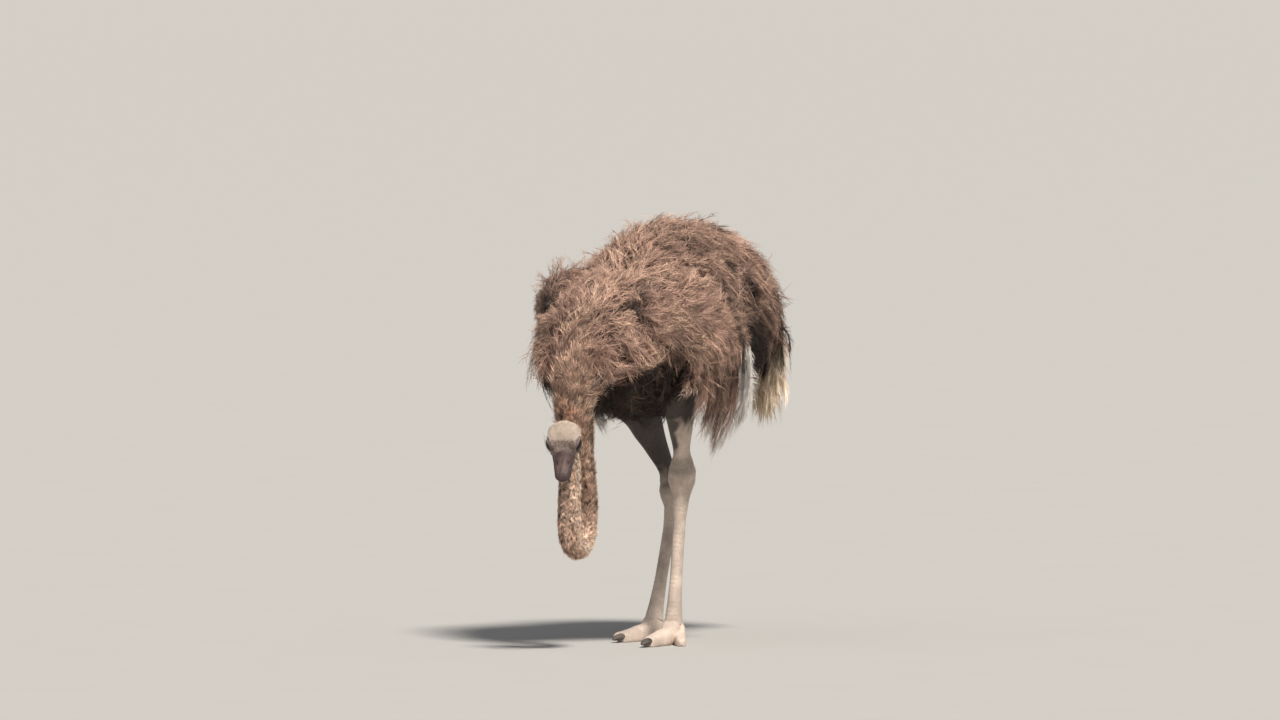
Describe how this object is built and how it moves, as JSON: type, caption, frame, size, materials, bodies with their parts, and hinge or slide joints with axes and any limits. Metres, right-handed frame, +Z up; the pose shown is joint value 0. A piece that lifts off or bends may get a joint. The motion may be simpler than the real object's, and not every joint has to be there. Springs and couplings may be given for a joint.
{
  "type": "ostrich",
  "caption": "Life-size model of a female ostrich walking with its head low: shaggy body, loose wings, drooping tail, long neck bent down in a U, bare legs and flat feet.",
  "frame": {"origin": "on the floor, under the middle of the bird's bounding box", "axes": "-Y the way the body faces, +X the bird's own left, +Z up"},
  "size_m": [0.6688, 1.2656, 1.2604],
  "materials": {
    "plumage": "soft grey-brown plumes, matt",
    "pale_plumes": "soft cream-tipped tail plumes, matt",
    "down": "short buff down, matt",
    "skin": "bare pale skin with scales, satin",
    "horn": "grey-brown horn, satin",
    "eye": "near-black brown, wet gloss"
  },
  "bodies": {
    "root": {"bill_lower": "horn", "bill_upper": "horn", "claw_left": "horn", "claw_right": "horn", "drumstick_left": "skin", "drumstick_right": "skin", "eye_left": "eye", "eye_right": "eye", "head": "down", "neck_1": "down", "neck_2": "down", "neck_3": "down", "neck_4": "down", "neck_5": "down", "tail": "pale_plumes", "tarsus_left": "skin", "tarsus_right": "skin", "toe_big_left": "skin", "toe_big_right": "skin", "toe_small_left": "skin", "toe_small_right": "skin", "trunk": "plumage", "wing_left": "plumage", "wing_right": "plumage"}
  },
  "joints": []
}
